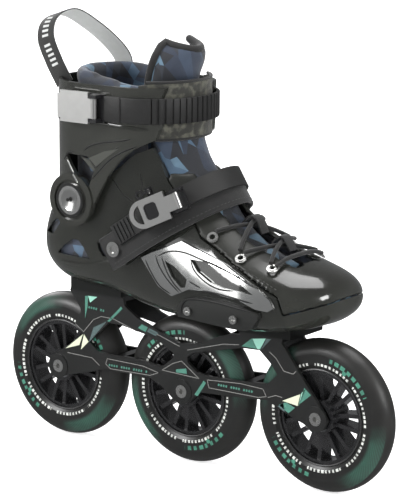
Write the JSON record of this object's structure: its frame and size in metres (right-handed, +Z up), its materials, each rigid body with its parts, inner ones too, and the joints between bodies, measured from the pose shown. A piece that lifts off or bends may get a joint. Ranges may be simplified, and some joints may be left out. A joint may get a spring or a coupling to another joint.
{
  "type": "inline skate",
  "caption": "Right-foot inline skate: hard boot with hinged cuff, buckled straps and laces on a frame with large wheels in one line.",
  "frame": {"origin": "on the ground below the middle axle, in the plane of the wheels", "axes": "+X to the toe, +Z up, -Y to the outer side of the foot"},
  "size_m": [0.39, 0.1231, 0.3678],
  "materials": {
    "tyre_rubber": "satin polyurethane",
    "wheel_core": "moulded",
    "bearing_steel": "ground",
    "spacer_aluminium": "turned",
    "axle_steel": "plated",
    "frame_paint": "satin black with faceted green graphics",
    "bolt_steel": "plated",
    "mount_aluminium": "black anodised",
    "shell_gloss": "polished",
    "vamp_leather": "semi gloss",
    "panel_chrome": "mirror plated",
    "slider_plastic": "matte",
    "eyelet_steel": "polished",
    "lace_fabric": "waxed braid",
    "liner_fabric": "printed with facets",
    "footbed_foam": "brushed",
    "strap_plastic": "matte, ribbed",
    "disc_chrome": "dished and polished",
    "buckle_base_plastic": "satin",
    "lever_aluminium": "polished",
    "pin_steel": "ground",
    "shield_fabric": "mottled print",
    "webbing_fabric": "woven, light on the inside"
  },
  "bodies": {
    "boot": {"rear_bearing_inner_rings": "bearing_steel", "rear_spacer": "spacer_aluminium", "rear_axle": "axle_steel", "middle_bearing_inner_rings": "bearing_steel", "middle_spacer": "spacer_aluminium", "middle_axle": "axle_steel", "front_bearing_inner_rings": "bearing_steel", "front_spacer": "spacer_aluminium", "front_axle": "axle_steel", "frame": "frame_paint", "frame_bolts": "bolt_steel", "slider_screws": "bolt_steel", "mount_blocks": "mount_aluminium", "shell": "shell_gloss", "toe_bumper": "shell_gloss", "vamp": "vamp_leather", "outer_side_panel": "panel_chrome", "inner_side_panel": "panel_chrome", "slider_plates": "slider_plastic", "eyelets": "eyelet_steel", "laces": "lace_fabric", "liner_lower": "liner_fabric", "tongue_lower": "liner_fabric", "footbed": "footbed_foam", "instep_band": "strap_plastic", "instep_ladder": "strap_plastic", "pivot_bolts": "disc_chrome", "anchor_bolts": "disc_chrome", "pivot_nuts": "bolt_steel", "instep_buckle_base": "buckle_base_plastic", "instep_buckle_pin": "pin_steel", "instep_release_pin": "pin_steel"},
    "rear_wheel": {"rear_tyre": "tyre_rubber", "rear_hub": "wheel_core", "rear_bearing_outer_rings": "bearing_steel", "rear_bearing_balls": "bearing_steel"},
    "middle_wheel": {"middle_tyre": "tyre_rubber", "middle_hub": "wheel_core", "middle_bearing_outer_rings": "bearing_steel", "middle_bearing_balls": "bearing_steel"},
    "front_wheel": {"front_tyre": "tyre_rubber", "front_hub": "wheel_core", "front_bearing_outer_rings": "bearing_steel", "front_bearing_balls": "bearing_steel"},
    "cuff": {"cuff": "shell_gloss", "front_shield": "shield_fabric", "cuff_strap": "strap_plastic", "cuff_buckle_base": "buckle_base_plastic", "cuff_buckle_pin": "pin_steel", "cuff_rivets": "pin_steel", "liner_upper": "liner_fabric", "tongue_upper": "liner_fabric", "pull_loop": "webbing_fabric"},
    "cuff_lever": {"cuff_buckle_lever": "lever_aluminium"},
    "instep_lever": {"instep_buckle_lever": "lever_aluminium"},
    "release": {"instep_release": "lever_aluminium"}
  },
  "joints": [
    {"name": "rear_wheel_spin", "type": "hinge", "parent": "boot", "child": "rear_wheel", "pos_m": [-0.1325, 0, 0.0625], "axis": [0, 1, 0], "continuous": true},
    {"name": "middle_wheel_spin", "type": "hinge", "parent": "boot", "child": "middle_wheel", "pos_m": [0, 0, 0.0625], "axis": [0, 1, 0], "continuous": true},
    {"name": "front_wheel_spin", "type": "hinge", "parent": "boot", "child": "front_wheel", "pos_m": [0.1325, 0, 0.0625], "axis": [0, 1, 0], "continuous": true},
    {"name": "cuff_lean", "type": "hinge", "parent": "boot", "child": "cuff", "pos_m": [-0.087, 0, 0.218], "axis": [0, 1, 0], "range_deg": [-5, 10], "stiffness_Nm_per_rad": 20},
    {"name": "cuff_lever_open", "type": "hinge", "parent": "cuff", "child": "cuff_lever", "pos_m": [-0.057, -0.0593, 0.29675], "axis": [0, 0, 1], "range_deg": [0, 100]},
    {"name": "instep_lever_open", "type": "hinge", "parent": "boot", "child": "instep_lever", "pos_m": [0.019, -0.04805, 0.22944], "axis": [-0.4393, -0.0234, 0.898], "range_deg": [0, 85]},
    {"name": "release_press", "type": "hinge", "parent": "boot", "child": "release", "pos_m": [-0.00467, -0.05498, 0.23482], "axis": [-0.4393, -0.0234, 0.898], "range_deg": [0, 20], "stiffness_Nm_per_rad": 0.02}
  ]
}
